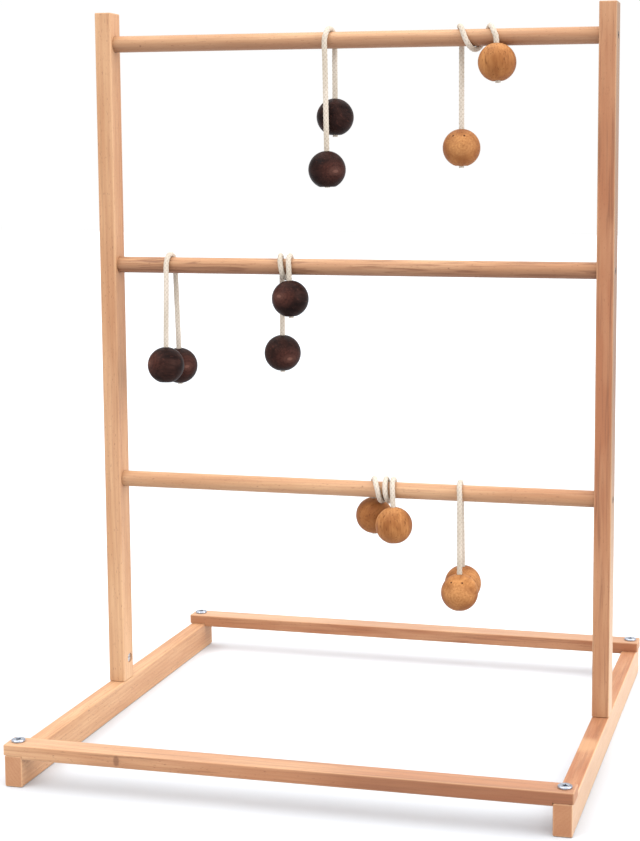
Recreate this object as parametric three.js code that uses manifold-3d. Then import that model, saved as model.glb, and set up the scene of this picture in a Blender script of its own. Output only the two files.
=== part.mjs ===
// Ladder toss frame: two posts and three round rungs on a bolted base of two side rails and two
// cross bars, with six bolas (two balls on a rope) hung on and wound round the rungs.
// Millimetres. X runs along the rungs, Y from the front to the back, Z up from the floor.
// The origin is on the floor, in the middle of the base.
import * as THREE from 'three';
import { mergeVertices } from 'three/addons/utils/BufferGeometryUtils.js';
import Module from 'manifold-3d';

const wasm = await Module();
wasm.setup();

// ---- Driving dimensions ----
const GAP = 0.3;              // between pieces that touch

const INNER_WIDTH = 574;      // clear width between the two posts
const TIMBER_WIDTH = 20;      // posts and side rails, along X
const POST_DEPTH = 28;
const POST_TOP = 840;
const RAIL_HEIGHT = 34;
const RAIL_LENGTH = 580;
const BAR_DEPTH = 28;
const BAR_THICKNESS = 15.5;
const LAP_DEPTH = 3.5;        // how far the rails reach up into the cross bars
const ARRIS = 1.8;            // radius of the timbers' long edges
const END_EASE = 0.7;         // chamfer round their ends
const BAR_OVERHANG = 1.2;     // how far the cross bars stand out past the rails

const RUNG_DIAMETER = 19;
const RUNG_HEIGHTS = { top: 804, middle: 544.5, low: 285 };
const SOCKET_DEPTH = 6;       // rung ends let into the posts

const BOLT_SHANK = 5.9;
const BOLT_HEAD = 15;
const BOLT_HEAD_HEIGHT = 2.6;
const BOLT_LENGTH = 28;
const HEX_SOCKET = 5;         // across flats
const INSERT_DIAMETER = 8.6;
const INSERT_LENGTH = 13;

const POST_BOLT_Y = 4;
const POST_BOLT_END = 67;
const POST_BOLT_HEAD = 10;
const POST_BOLT_SEAT = 7;     // height of the underside of the head above the floor
const NUT_DIAMETER = 11.4;
const NUT_LENGTH = 16;
const NUT_HEIGHT = 60;
const PEG_DIAMETER = 6;
const PEG_LENGTH = 22;
const PEG_Y = -8;

const SCREW_LENGTH = 40;
const SCREW_SHANK = 3.9;
const SCREW_HEAD = 8;

const BALL_RADIUS = 21.5;
const BALL_BORE = 7;
const KNOT_POCKET_RADIUS = 6.2;
const KNOT_POCKET_FLOOR = -9.5;   // below the ball's centre
const ROPE_DIAMETER = 6;
const WRAP_RADIUS = 13;           // rope's centre line round the rung's axis

// Each bola hangs over its rung. x is along the rungs, y from the rung's axis, and drop is from
// the rung's axis down to the ball's centre. strands are the x of each pass down the rung's front.
const BOLAS = [
  {
    name: 'bola_top_dark',
    rung: 'top',
    wood: 'dark',
    strands: [-26],
    back: { x: -21.5, y: 13, drop: 86.7, tail: 2.2, flat: 6.8 },
    front: { x: -24, y: -13, drop: 147, tail: 0, flat: 9 },
  },
  {
    name: 'bola_top_light',
    rung: 'top',
    wood: 'light',
    strands: [137, 172.5],
    lead: 80,
    back: { x: 128, y: 13, drop: 122.5, tail: 2.2, flat: 6.8 },
    front: { x: 174, y: -13.5, drop: 28.5, tail: 2.2, flat: 6.8 },
  },
  {
    name: 'bola_middle_left',
    rung: 'middle',
    wood: 'dark',
    strands: [-223],
    back: { x: -222, y: 21.8, drop: 122.4, tail: 2.2, flat: 6.8 },
    front: { x: -222, y: -21.8, drop: 117.1, tail: 0, flat: 6.8 },
  },
  {
    name: 'bola_middle_right',
    rung: 'middle',
    wood: 'dark',
    strands: [-80.8, -71.4],
    back: { x: -88.2, y: 13, drop: 103, tail: 2.2, flat: 6.8 },
    front: { x: -69.8, y: -13, drop: 36.4, tail: 2.2, flat: 6.8 },
  },
  {
    name: 'bola_low_wound',
    rung: 'low',
    wood: 'light',
    strands: [34.8, 43.5, 52.3],
    back: { x: 22.4, y: 15.5, drop: 34, tail: 2.2, flat: 6.8 },
    front: { x: 54.5, y: -15.5, drop: 38.5, tail: 0, flat: 6.8 },
  },
  {
    name: 'bola_low_hung',
    rung: 'low',
    wood: 'light',
    strands: [132],
    back: { x: 128.5, y: 21.8, drop: 112, tail: 2.2, flat: 6.8 },
    front: { x: 134, y: -21.8, drop: 112, tail: 0, flat: 6.8 },
  },
];

// ---- Materials ----
function finish(color, roughness, metalness) {
  return new THREE.MeshStandardMaterial({ color, roughness, metalness });
}

const MATERIALS = {
  beech: () => finish('#d9a878', 0.55, 0),
  light: () => finish('#c88a52', 0.5, 0),
  dark: () => finish('#3d2a26', 0.45, 0),
  rope: () => finish('#ece2d2', 0.9, 0),
  zinc: () => finish('#c9ccd2', 0.3, 1),
};

// ---- Geometry helpers ----
// One clean indexed mesh: shared corners merged, triangles that have closed up left out.
function clean(geometry) {
  const bare = new THREE.BufferGeometry();
  bare.setAttribute('position', geometry.getAttribute('position').clone());
  if (geometry.index) {
    bare.setIndex(geometry.index.clone());
  }
  const merged = mergeVertices(bare, 1e-4);
  const corners = merged.index.array;
  const kept = [];
  for (let i = 0; i < corners.length; i += 3) {
    const [a, b, c] = [corners[i], corners[i + 1], corners[i + 2]];
    if (a !== b && b !== c && c !== a) {
      kept.push(a, b, c);
    }
  }
  merged.setIndex(kept);
  return merged;
}

function solidOf(geometry) {
  const merged = clean(geometry);
  return new wasm.Manifold(new wasm.Mesh({
    numProp: 3,
    vertProperties: new Float32Array(merged.getAttribute('position').array),
    triVerts: new Uint32Array(merged.index.array),
  }));
}

function geometryOf(solid) {
  const mesh = solid.getMesh();
  const geometry = new THREE.BufferGeometry();
  geometry.setAttribute('position', new THREE.BufferAttribute(mesh.vertProperties, 3));
  geometry.setIndex(new THREE.BufferAttribute(mesh.triVerts, 1));
  return geometry;
}

function cut(body, tools) {
  let solid = solidOf(body);
  for (const tool of tools) {
    solid = solid.subtract(solidOf(tool));
  }
  return geometryOf(solid);
}

// A cylinder along an axis, from one coordinate on it to another, through the point given.
function rod(axis, diameter, from, to, through, segments = 14, endDiameter = diameter) {
  const geometry = new THREE.CylinderGeometry(endDiameter / 2, diameter / 2, to - from, segments);
  geometry.translate(0, (from + to) / 2, 0);
  if (axis === 'x') {
    geometry.rotateZ(-Math.PI / 2);
  }
  if (axis === 'z') {
    geometry.rotateX(Math.PI / 2);
  }
  return geometry.translate(through[0], through[1], through[2]);
}

function box(low, high) {
  const size = high.map((value, i) => value - low[i]);
  const geometry = new THREE.BoxGeometry(size[0], size[1], size[2]);
  return geometry.translate(low[0] + size[0] / 2, low[1] + size[1] / 2, low[2] + size[2] / 2);
}

// A turned piece on the Z axis from (radius, height) pairs.
function turned(profile, segments) {
  const points = profile.map(([radius, height]) => new THREE.Vector2(radius, height));
  return new THREE.LatheGeometry(points, segments).rotateX(Math.PI / 2);
}

// A planed timber along Z from 0 to its length, its long edges rounded and its ends chamfered.
function timber(sizeX, sizeY, length) {
  const [x, y] = [sizeX / 2 - ARRIS, sizeY / 2 - ARRIS];
  const radius = ARRIS - END_EASE;
  const shape = new THREE.Shape();
  shape.absarc(x, y, radius, 0, Math.PI / 2);
  shape.absarc(-x, y, radius, Math.PI / 2, Math.PI);
  shape.absarc(-x, -y, radius, Math.PI, Math.PI * 1.5);
  shape.absarc(x, -y, radius, Math.PI * 1.5, Math.PI * 2);
  const geometry = new THREE.ExtrudeGeometry(shape, {
    depth: length - 2 * END_EASE,
    bevelThickness: END_EASE,
    bevelSize: END_EASE,
    bevelSegments: 1,
    curveSegments: 4,
  });
  return geometry.translate(0, 0, END_EASE);
}

function piece(name, geometry, material) {
  const mesh = new THREE.Mesh(clean(geometry), MATERIALS[material]());
  mesh.name = name;
  return mesh;
}

// ---- Posts ----
// side is -1 on the left and +1 on the right. The inner face looks towards the middle.
const POST_X = INNER_WIDTH / 2 + TIMBER_WIDTH / 2;
const OUTER_X = INNER_WIDTH / 2 + TIMBER_WIDTH;

// A cylinder across a post on one side, between two distances from the middle.
function crossRod(side, diameter, inner, outer, y, z, outerDiameter = diameter) {
  const segments = diameter > 10 ? 24 : 12;
  if (side > 0) {
    return rod('x', diameter, inner, outer, [0, y, z], segments, outerDiameter);
  }
  return rod('x', outerDiameter, -outer, -inner, [0, y, z], segments, diameter);
}

function post(side) {
  const foot = RAIL_HEIGHT + GAP;
  const body = timber(TIMBER_WIDTH, POST_DEPTH, POST_TOP - foot).translate(side * POST_X, 0, foot);
  const innerX = INNER_WIDTH / 2;
  const holes = [];
  for (const z of Object.values(RUNG_HEIGHTS)) {
    holes.push(crossRod(side, RUNG_DIAMETER + 2 * GAP, innerX - 5, innerX + SOCKET_DEPTH + GAP, 0, z));
    holes.push(crossRod(side, SCREW_SHANK + 2 * GAP, innerX, OUTER_X + 1, 0, z));
    const rim = SCREW_HEAD + 2 * GAP;
    holes.push(crossRod(side, SCREW_SHANK + 2 * GAP, OUTER_X - 3.4, OUTER_X - 0.7, 0, z, rim));
    holes.push(crossRod(side, rim, OUTER_X - 0.75, OUTER_X + 1, 0, z));
  }
  const nutHole = NUT_DIAMETER + 2 * GAP;
  const nutEnd = POST_X + NUT_LENGTH / 2 + GAP;
  holes.push(crossRod(side, nutHole, innerX - 1, nutEnd, POST_BOLT_Y, NUT_HEIGHT));
  const bolt = [side * POST_X, POST_BOLT_Y, 0];
  holes.push(rod('z', BOLT_SHANK + 2 * GAP, foot - 1, POST_BOLT_END + 2, bolt));
  const peg = [side * POST_X, PEG_Y, 0];
  holes.push(rod('z', PEG_DIAMETER + 2 * GAP, foot - 1, RAIL_HEIGHT + PEG_LENGTH / 2 + GAP, peg));
  return cut(body, holes);
}

// ---- Rungs ----
function rung(height) {
  const half = INNER_WIDTH / 2 + SOCKET_DEPTH;
  const body = rod('x', RUNG_DIAMETER, -half, half, [0, 0, height], 28);
  const pilot = SCREW_SHANK + 2 * GAP;
  const depth = SCREW_LENGTH - TIMBER_WIDTH + SOCKET_DEPTH + 2;
  return cut(body, [
    rod('x', pilot, -half - 1, -half + depth, [0, 0, height]),
    rod('x', pilot, half - depth, half + 1, [0, 0, height]),
  ]);
}

// Countersunk wood screw with a cross recess, its head's top at z = 0 and its point down.
function woodScrew() {
  const body = turned([
    [0, -SCREW_LENGTH],
    [SCREW_SHANK / 2, -SCREW_LENGTH + 6],
    [SCREW_SHANK / 2, -2.9],
    [SCREW_HEAD / 2, -0.6],
    [SCREW_HEAD / 2, 0],
    [0, 0],
  ], 12);
  return cut(body, [
    box([-2.3, -0.55, -1.5], [2.3, 0.55, 1]),
    box([-0.55, -2.3, -1.5], [0.55, 2.3, 1]),
  ]);
}

// ---- Base ----
const CORNER_Y = RAIL_LENGTH / 2 - BAR_DEPTH / 2;
const BAR_BOTTOM = RAIL_HEIGHT - LAP_DEPTH;
const BAR_TOP = BAR_BOTTOM + BAR_THICKNESS;
const BOLT_SEAT = BAR_TOP + GAP;

function sideRail(side) {
  const body = timber(TIMBER_WIDTH, RAIL_HEIGHT, RAIL_LENGTH);
  body.rotateX(-Math.PI / 2).translate(side * POST_X, -RAIL_LENGTH / 2, RAIL_HEIGHT / 2);
  const x = side * POST_X;
  const holes = [];
  for (const end of [-1, 1]) {
    const corner = [x, end * CORNER_Y, 0];
    const insertFloor = RAIL_HEIGHT - INSERT_LENGTH - 2 * GAP;
    holes.push(rod('z', INSERT_DIAMETER + 2 * GAP, insertFloor, RAIL_HEIGHT + 1, corner));
    holes.push(rod('z', BOLT_SHANK + 2 * GAP, BOLT_SEAT - BOLT_LENGTH - 2, RAIL_HEIGHT, corner));
  }
  const bolt = [x, POST_BOLT_Y, 0];
  holes.push(rod('z', BOLT_SHANK + 2 * GAP, -1, RAIL_HEIGHT + 1, bolt));
  holes.push(rod('z', POST_BOLT_HEAD + 1.4, -1, POST_BOLT_SEAT + GAP, bolt));
  const pegHole = RAIL_HEIGHT - PEG_LENGTH / 2 - GAP;
  holes.push(rod('z', PEG_DIAMETER + 2 * GAP, pegHole, RAIL_HEIGHT + 1, [x, PEG_Y, 0]));
  return cut(body, holes);
}

// end is -1 at the front and +1 at the back.
function crossBar(end) {
  const half = OUTER_X + BAR_OVERHANG;
  const body = timber(BAR_THICKNESS, BAR_DEPTH, 2 * half);
  body.rotateY(Math.PI / 2).translate(-half, end * CORNER_Y, BAR_BOTTOM + BAR_THICKNESS / 2);
  const tools = [];
  const low = end * CORNER_Y - BAR_DEPTH;
  const high = end * CORNER_Y + BAR_DEPTH;
  const shoulder = INNER_WIDTH / 2 - GAP;
  tools.push(box([shoulder, low, 0], [half + 1, high, RAIL_HEIGHT + GAP]));
  tools.push(box([-half - 1, low, 0], [-shoulder, high, RAIL_HEIGHT + GAP]));
  for (const side of [-1, 1]) {
    const corner = [side * POST_X, end * CORNER_Y, 0];
    tools.push(rod('z', BOLT_SHANK + 2 * GAP, BAR_BOTTOM - 1, BAR_TOP + 1, corner));
  }
  return cut(body, tools);
}

// Flat domed connector bolt, its head resting at z = 0 and its shank pointing down.
function cornerBolt() {
  const body = turned([
    [0, -BOLT_LENGTH],
    [BOLT_SHANK / 2 - 0.8, -BOLT_LENGTH],
    [BOLT_SHANK / 2, -BOLT_LENGTH + 0.8],
    [BOLT_SHANK / 2, 0],
    [BOLT_HEAD / 2, 0],
    [BOLT_HEAD / 2, 1.2],
    [BOLT_HEAD / 2 - 0.8, BOLT_HEAD_HEIGHT - 0.5],
    [BOLT_HEAD / 2 - 2.2, BOLT_HEAD_HEIGHT],
    [0, BOLT_HEAD_HEIGHT],
  ], 20);
  const hex = rod('z', HEX_SOCKET * 2 / Math.sqrt(3), 0.5, BOLT_HEAD_HEIGHT + 1, [0, 0, 0], 6);
  return cut(body, [hex]);
}

// Threaded insert for a corner bolt: a plain sleeve hanging down from z = 0.
function insert() {
  const outer = INSERT_DIAMETER / 2;
  const inner = BOLT_SHANK / 2 + GAP;
  return turned([
    [inner, -INSERT_LENGTH],
    [outer, -INSERT_LENGTH],
    [outer, 0],
    [inner, 0],
    [inner, -INSERT_LENGTH],
  ], 14);
}

// Cap bolt that holds a post down: head below, shank up into the barrel nut.
function postBolt() {
  const head = 6;
  const body = turned([
    [0, POST_BOLT_SEAT - head],
    [POST_BOLT_HEAD / 2 - 0.6, POST_BOLT_SEAT - head],
    [POST_BOLT_HEAD / 2, POST_BOLT_SEAT - head + 0.6],
    [POST_BOLT_HEAD / 2, POST_BOLT_SEAT],
    [BOLT_SHANK / 2, POST_BOLT_SEAT],
    [BOLT_SHANK / 2, POST_BOLT_END - 0.8],
    [BOLT_SHANK / 2 - 0.8, POST_BOLT_END],
    [0, POST_BOLT_END],
  ], 14);
  const mouth = POST_BOLT_SEAT - head - 1;
  return cut(body, [rod('z', HEX_SOCKET * 2 / Math.sqrt(3), mouth, mouth + 4, [0, 0, 0], 6)]);
}

// Cross dowel nut along X, its hole for the bolt upright and a screwdriver slot in its inner end.
function barrelNut(side) {
  const half = NUT_LENGTH / 2;
  const body = rod('x', NUT_DIAMETER, -half, half, [0, 0, 0], 24);
  const slotFrom = side > 0 ? -half - 1 : half - 1.4;
  return cut(body, [
    rod('z', BOLT_SHANK + 2 * GAP, -NUT_DIAMETER, NUT_DIAMETER, [0, 0, 0], 16),
    box([slotFrom, -NUT_DIAMETER, -0.6], [slotFrom + 2.4, NUT_DIAMETER, 0.6]),
  ]);
}

function locatingPeg() {
  const [radius, half] = [PEG_DIAMETER / 2, PEG_LENGTH / 2];
  return turned([
    [0, -half],
    [radius - 0.7, -half],
    [radius, -half + 0.9],
    [radius, half - 0.9],
    [radius - 0.7, half],
    [0, half],
  ], 12);
}

// ---- Bolas ----
// Bored ball with a pocket for the knot below, on its own Z axis. flat is the radius of the
// small flat that is sanded round the pocket's mouth.
function ball(flat) {
  const bore = BALL_BORE / 2;
  const profile = [[bore, KNOT_POCKET_FLOOR]];
  const first = Math.asin(bore / BALL_RADIUS);
  const last = Math.PI - Math.asin(flat / BALL_RADIUS);
  const steps = 9;
  for (let i = 0; i <= steps; i += 1) {
    const angle = first + (last - first) * i / steps;
    profile.push([BALL_RADIUS * Math.sin(angle), BALL_RADIUS * Math.cos(angle)]);
  }
  profile.push([KNOT_POCKET_RADIUS, -Math.sqrt(BALL_RADIUS ** 2 - flat ** 2)]);
  profile.push([KNOT_POCKET_RADIUS, KNOT_POCKET_FLOOR]);
  profile.push([bore, KNOT_POCKET_FLOOR]);
  return turned(profile.reverse(), 18);
}

// Knot in the pocket of a ball, with the rope's short tail below it.
function knot(tail) {
  const top = KNOT_POCKET_FLOOR - GAP;
  const thick = KNOT_POCKET_RADIUS - 0.6;
  const end = -BALL_RADIUS + 1.2 - tail;
  return turned([
    [0, end],
    [ROPE_DIAMETER / 2, end + 0.8],
    [ROPE_DIAMETER / 2 + 0.6, top - 8.6],
    [thick - 0.3, top - 6.8],
    [thick, top - 2.4],
    [ROPE_DIAMETER / 2, top],
    [0, top],
  ], 8);
}

// Where a rope that hangs straight down to a ball leaves its circle round the rung. The angle is
// above the level of the rung's axis, and y is taken as positive on the ball's own side.
function leaving(end) {
  const reach = Math.hypot(end.y, end.drop);
  const length = Math.sqrt(reach ** 2 - WRAP_RADIUS ** 2);
  return Math.atan2(length, WRAP_RADIUS) - Math.atan2(end.drop, Math.abs(end.y));
}

function wrapPoint(x, angle) {
  return new THREE.Vector3(x, WRAP_RADIUS * Math.cos(angle), WRAP_RADIUS * Math.sin(angle));
}

function centre(end) {
  return new THREE.Vector3(end.x, end.y, -end.drop);
}

// x of the winding at an angle that starts at 0 behind the rung and grows over its top.
function windingX(bola, angle) {
  const lead = THREE.MathUtils.degToRad(bola.lead ?? 30);
  if (angle <= lead) {
    return bola.back.x;
  }
  if (angle <= Math.PI) {
    return THREE.MathUtils.mapLinear(angle, lead, Math.PI, bola.back.x, bola.strands[0]);
  }
  const turns = (angle - Math.PI) / (2 * Math.PI);
  const i = Math.min(Math.floor(turns), bola.strands.length - 2);
  if (i < 0) {
    return bola.strands[0];
  }
  return THREE.MathUtils.lerp(bola.strands[i], bola.strands[i + 1], Math.min(turns - i, 1));
}

// Points from the knot in a ball up to the edge where the rope meets its circle, without the last.
function leg(end, edge) {
  const middle = centre(end);
  const up = edge.clone().sub(middle).normalize();
  const foot = middle.clone().addScaledVector(up, KNOT_POCKET_FLOOR);
  const steps = Math.max(2, Math.round(foot.distanceTo(edge) / 22));
  const points = [];
  for (let i = 0; i < steps; i += 1) {
    points.push(foot.clone().lerp(edge, i / steps));
  }
  return points;
}

// The rope's centre line from knot to knot, about the rung's axis: up out of the back ball, over
// and round the rung, and down into the front ball.
function ropeRoute(bola) {
  const start = leaving(bola.back);
  const last = Math.PI - leaving(bola.front) + 2 * Math.PI * (bola.strands.length - 1);
  const up = wrapPoint(bola.back.x, start);
  const down = wrapPoint(bola.strands.at(-1), last);
  const turns = Math.ceil((last - start) / THREE.MathUtils.degToRad(28));
  const winding = [];
  for (let i = 0; i <= turns; i += 1) {
    const angle = start + (last - start) * i / turns;
    winding.push(wrapPoint(windingX(bola, angle), angle));
  }
  return [...leg(bola.back, up), ...winding, ...leg(bola.front, down).reverse()];
}

// A smooth curve through the route that is cut at the route's own points.
class RopeCurve extends THREE.CatmullRomCurve3 {
  getUtoTmapping(u) {
    return u;
  }
}

function rope(route) {
  const corners = [];
  for (let i = 0; i < 8; i += 1) {
    const angle = 2 * Math.PI * i / 8;
    const radius = ROPE_DIAMETER / 2;
    corners.push(new THREE.Vector2(radius * Math.cos(angle), radius * Math.sin(angle)));
  }
  return new THREE.ExtrudeGeometry(new THREE.Shape(corners), {
    steps: route.length - 1,
    extrudePath: new RopeCurve(route, false, 'centripetal'),
  });
}

// Puts a mesh at a ball's centre with its Z axis along the rope, from its knot to the next point.
function hang(mesh, end, knotPoint, nextPoint) {
  const up = nextPoint.clone().sub(knotPoint).normalize();
  mesh.position.copy(centre(end));
  mesh.quaternion.setFromUnitVectors(new THREE.Vector3(0, 0, 1), up);
  return mesh;
}

function bolaGroup(bola) {
  const group = new THREE.Group();
  group.position.z = RUNG_HEIGHTS[bola.rung];
  const route = ropeRoute(bola);
  group.add(piece(`${bola.name}_rope`, rope(route), 'rope'));
  const ropeEnds = { back: [route[0], route[1]], front: [route.at(-1), route.at(-2)] };
  for (const [place, points] of Object.entries(ropeEnds)) {
    const end = bola[place];
    const wood = piece(`${bola.name}_ball_${place}`, ball(end.flat), bola.wood);
    const stopper = piece(`${bola.name}_knot_${place}`, knot(end.tail), 'rope');
    group.add(hang(wood, end, ...points), hang(stopper, end, ...points));
  }
  return group;
}

// ---- Assembly ----
const ladder = new THREE.Group();
for (const [sideName, side] of [['left', -1], ['right', 1]]) {
  ladder.add(piece(`post_${sideName}`, post(side), 'beech'));
  ladder.add(piece(`side_rail_${sideName}`, sideRail(side), 'beech'));
  const held = piece(`post_bolt_${sideName}`, postBolt(), 'zinc');
  held.position.set(side * POST_X, POST_BOLT_Y, 0);
  ladder.add(held);
  const nut = piece(`barrel_nut_${sideName}`, barrelNut(side), 'zinc');
  nut.position.set(side * POST_X, POST_BOLT_Y, NUT_HEIGHT);
  ladder.add(nut);
  const peg = piece(`locating_peg_${sideName}`, locatingPeg(), 'beech');
  peg.position.set(side * POST_X, PEG_Y, RAIL_HEIGHT);
  ladder.add(peg);
  for (const [rungName, height] of Object.entries(RUNG_HEIGHTS)) {
    const screw = piece(`rung_screw_${rungName}_${sideName}`, woodScrew(), 'zinc');
    screw.position.set(side * OUTER_X, 0, height);
    screw.rotation.y = side * Math.PI / 2;
    ladder.add(screw);
  }
  for (const [endName, end] of [['front', -1], ['rear', 1]]) {
    const bolt = piece(`corner_bolt_${endName}_${sideName}`, cornerBolt(), 'zinc');
    bolt.position.set(side * POST_X, end * CORNER_Y, BOLT_SEAT);
    ladder.add(bolt);
    const sleeve = piece(`threaded_insert_${endName}_${sideName}`, insert(), 'zinc');
    sleeve.position.set(side * POST_X, end * CORNER_Y, RAIL_HEIGHT - GAP);
    ladder.add(sleeve);
  }
}
for (const [endName, end] of [['front', -1], ['rear', 1]]) {
  ladder.add(piece(`cross_bar_${endName}`, crossBar(end), 'beech'));
}
for (const [rungName, height] of Object.entries(RUNG_HEIGHTS)) {
  ladder.add(piece(`rung_${rungName}`, rung(height), 'beech'));
}
for (const bola of BOLAS) {
  ladder.add(bolaGroup(bola));
}

export default ladder;
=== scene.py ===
"""Looks of the ladder toss frame: wood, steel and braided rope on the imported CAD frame.

Metres. X runs along the rungs, Y from the front to the back, Z up from the floor.
"""

import math

import bmesh
import bpy
from mathutils import Matrix, Vector, noise


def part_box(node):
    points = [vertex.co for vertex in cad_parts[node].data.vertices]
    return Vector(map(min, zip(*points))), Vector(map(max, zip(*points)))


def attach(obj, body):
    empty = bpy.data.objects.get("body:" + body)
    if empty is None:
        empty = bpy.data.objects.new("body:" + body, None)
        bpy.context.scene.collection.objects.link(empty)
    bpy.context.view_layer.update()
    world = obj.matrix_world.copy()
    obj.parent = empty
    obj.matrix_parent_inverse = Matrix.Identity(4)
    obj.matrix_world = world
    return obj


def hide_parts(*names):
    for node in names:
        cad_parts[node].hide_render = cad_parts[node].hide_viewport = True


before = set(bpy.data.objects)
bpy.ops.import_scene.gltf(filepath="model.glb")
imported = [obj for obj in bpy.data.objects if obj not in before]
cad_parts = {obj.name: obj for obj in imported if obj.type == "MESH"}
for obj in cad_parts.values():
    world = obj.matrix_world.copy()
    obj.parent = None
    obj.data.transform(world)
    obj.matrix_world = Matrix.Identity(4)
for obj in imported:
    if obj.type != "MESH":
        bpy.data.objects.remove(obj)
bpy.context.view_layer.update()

# ---- Camera ----
CAMERA_PLACE = (0.5473, -1.9231, 0.6640)
CAMERA_YAW = 13.864  # degrees from +Y towards -X
CAMERA_PITCH = 6.696  # degrees below the horizon
CAMERA_ROLL = -0.104  # degrees
CAMERA_LENS = 73.88  # millimetres
SENSOR_WIDTH = 36  # millimetres
CAMERA_SHIFT = (-0.1094, -0.0647)  # shares of the picture's longer side


def make_camera():
    data = bpy.data.cameras.new("camera")
    data.lens = CAMERA_LENS
    data.sensor_width = SENSOR_WIDTH
    data.shift_x, data.shift_y = CAMERA_SHIFT
    camera = bpy.data.objects.new("camera", data)
    turn = Matrix.Rotation(math.radians(CAMERA_YAW), 4, "Z")
    tip = Matrix.Rotation(math.radians(90 - CAMERA_PITCH), 4, "X")
    roll = Matrix.Rotation(math.radians(CAMERA_ROLL), 4, "Z")
    camera.matrix_world = Matrix.Translation(CAMERA_PLACE) @ turn @ tip @ roll
    bpy.context.collection.objects.link(camera)
    bpy.context.scene.camera = camera


make_camera()

# ---- Dimensions ----
RUNG_HEIGHTS = {"top": 0.804, "middle": 0.5445, "low": 0.285}
RUNG_RADIUS = 0.0095
WRAP_RADIUS = 0.013  # rope's centre line round the rung's axis
WRAP_LEAD = 30  # degrees round the rung before the rope moves sideways
ROPE_RADIUS = 0.003
BALL_RADIUS = 0.0215
BALL_BORE = 0.0035
BALL_FLAT = 0.0068  # radius of the sanded flat round the pocket's mouth
POCKET_RADIUS = 0.0062
POCKET_FLOOR = -0.0095  # below the ball's centre
BORE_EASE = 0.0004
BORE_TOP = BALL_RADIUS - 0.0012

KNOT_GAP = 0.0003  # between the knot and the pocket's floor
KNOT_LUMP = 0.0042  # length of the knot's lump, and then of its thinning to the tail
KNOT_SHOULDER = 0.0022
KNOT_SWIRL = 0.0085  # length in which the knot's three lobes move on by one
ROPE_TAIL = 0.0022  # how far the frayed tail stands out of the pocket's mouth
TAIL_INSET = 0.0012  # how far inside the ball's surface a tail of no length ends
FRINGE = 0.0014  # frayed end of the tail

BRAID_STRANDS = 4  # strands that run each way round the rope
BRAID_PITCH = 0.021  # length of rope in which a strand goes once round
BRAID_CORE = 0.88  # radius between the strands, as a share of the rope's
BRAID_RELIEF = 0.18  # how far the strands stand out of it, as a share of the rope's radius
FUZZ_CELLS = 900  # per metre
FUZZ_DEPTH = 0.00008

BOLT_HEAD_HEIGHT = 0.0026
BOLT_SHANK_RADIUS = 0.00295
BOLT_HEX = 0.005  # across the hex recess's flats

RUNG_EASE = 0.0012  # rounding of a rung's end
PILOT_RADIUS = 0.0022
PILOT_DEPTH = 0.028

# How finely the round forms are made.
LEG_STEP = 0.022
WRAP_STEP = math.radians(28)
PATH_STEP = 0.0007
ROPE_SIDES = 28
KNOT_SIDES, KNOT_LEVELS = 40, 44
BALL_SIDES = 64
RUNG_SIDES = 72
BOLT_SIDES = 48

# Each bola hangs over its rung. x is along the rungs, y from the rung's axis, and drop is from
# the rung's axis down to the ball's centre. strands are the x of each pass down the rung's front.
# lead, tail and flat are given where they differ from WRAP_LEAD, ROPE_TAIL and BALL_FLAT.
# grain is how a ball's wood was cut: the direction of its fibres in degrees round from the ball's
# front and up, how far the tree's middle runs beside them, and how deep its colour is, where 0 is
# lightest. stapled is the ball with two staple holes.
BOLAS = {
    "bola_top_dark": {
        "rung": "top",
        "wood": "dark",
        "strands": [-0.026],
        "back": {"x": -0.0215, "y": 0.013, "drop": 0.0867},
        "front": {"x": -0.024, "y": -0.013, "drop": 0.147, "tail": 0, "flat": 0.009},
        "grain": {"back": (150, -20, 0.004, 0.2), "front": (44, -5, 0.0, 0.5)},
    },
    "bola_top_light": {
        "rung": "top",
        "wood": "light",
        "strands": [0.137, 0.1725],
        "lead": 80,
        "back": {"x": 0.128, "y": 0.013, "drop": 0.1225},
        "front": {"x": 0.174, "y": -0.0135, "drop": 0.0285},
        "grain": {"back": (12, 8, 0.0, 0.6), "front": (0, 90, 0.045, 0.6)},
        "stapled": "back",
    },
    "bola_middle_left": {
        "rung": "middle",
        "wood": "dark",
        "strands": [-0.223],
        "back": {"x": -0.222, "y": 0.0218, "drop": 0.1224},
        "front": {"x": -0.222, "y": -0.0218, "drop": 0.1171, "tail": 0},
        "grain": {"back": (45, 5, 0.002, 0.2), "front": (-48, 8, 0.0, 0.0)},
    },
    "bola_middle_right": {
        "rung": "middle",
        "wood": "dark",
        "strands": [-0.0808, -0.0714],
        "back": {"x": -0.0882, "y": 0.013, "drop": 0.103},
        "front": {"x": -0.0698, "y": -0.013, "drop": 0.0364},
        "grain": {"back": (42, -14, 0.0, 0.4), "front": (-20, 12, 0.0, 0.2)},
    },
    "bola_low_wound": {
        "rung": "low",
        "wood": "light",
        "strands": [0.0348, 0.0435, 0.0523],
        "back": {"x": 0.0224, "y": 0.0155, "drop": 0.034},
        "front": {"x": 0.0545, "y": -0.0155, "drop": 0.0385, "tail": 0},
        "grain": {"back": (150, 30, 0.0, 1.2), "front": (10, 88, 0.04, 0.2)},
    },
    "bola_low_hung": {
        "rung": "low",
        "wood": "light",
        "strands": [0.132],
        "back": {"x": 0.1285, "y": 0.0218, "drop": 0.112},
        "front": {"x": 0.134, "y": -0.0218, "drop": 0.112, "tail": 0},
        "grain": {"back": (40, 20, 0.0, 0.5), "front": (4, -6, 0.0, 0.0)},
        "stapled": "front",
    },
}


# ---- Rope routes ----
def leaving(end):
    """Angle above the level of the rung's axis where a rope down to a ball leaves its wrap."""
    reach = math.hypot(end["y"], end["drop"])
    length = math.sqrt(reach**2 - WRAP_RADIUS**2)
    return math.atan2(length, WRAP_RADIUS) - math.atan2(end["drop"], abs(end["y"]))


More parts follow.
